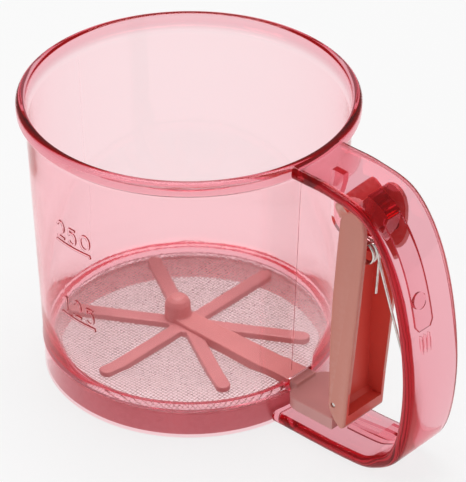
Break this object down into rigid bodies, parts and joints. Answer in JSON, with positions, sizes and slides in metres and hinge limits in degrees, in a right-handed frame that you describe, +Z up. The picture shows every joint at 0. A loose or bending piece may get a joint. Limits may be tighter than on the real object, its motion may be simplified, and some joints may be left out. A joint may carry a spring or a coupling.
{
  "type": "flour sifter",
  "caption": "Clear tinted cup with a woven screen in its base and a D handle whose sprung trigger slides a star-shaped agitator over the screen.",
  "frame": {"origin": "middle of the footprint's bounding box, on the surface that the base stands on", "axes": "+X towards the handle, +Z up out of the cup, +Y across the handle"},
  "size_m": [0.1368, 0.095, 0.0863],
  "materials": {
    "clear_plastic": "clear pink moulded plastic, polished",
    "ring_plastic": "opaque pink moulded plastic, satin",
    "trigger_plastic": "opaque dusty pink moulded plastic, fine matte",
    "woven_steel": "plain-woven stainless wire",
    "nickel_steel": "bright nickel-plated wire and pins"
  },
  "bodies": {
    "cup": {"cup_body": "clear_plastic", "handle": "clear_plastic", "screen_ring": "ring_plastic", "screen_mesh": "woven_steel", "pivot_pin": "nickel_steel", "torsion_spring": "nickel_steel"},
    "trigger": {"trigger_lever": "trigger_plastic", "arm_pin": "nickel_steel"},
    "agitator": {"pull_arm": "trigger_plastic", "agitator_star": "trigger_plastic"}
  },
  "joints": [
    {"name": "trigger_pivot", "type": "hinge", "parent": "cup", "child": "trigger", "pos_m": [0.04568, 0, 0.0686], "axis": [0, -1, 0], "range_deg": [0, 5.2], "stiffness_Nm_per_rad": 0.3, "springref_deg": -20.05, "deforming": ["torsion_spring"]},
    {"name": "agitator_slide", "type": "slide", "parent": "cup", "child": "agitator", "axis": [1, 0, 0], "range_m": [0, 0.005]}
  ],
  "couplings": [
    {"joint": "agitator_slide", "follows": "trigger_pivot", "m_per_rad": 0.0532}
  ]
}
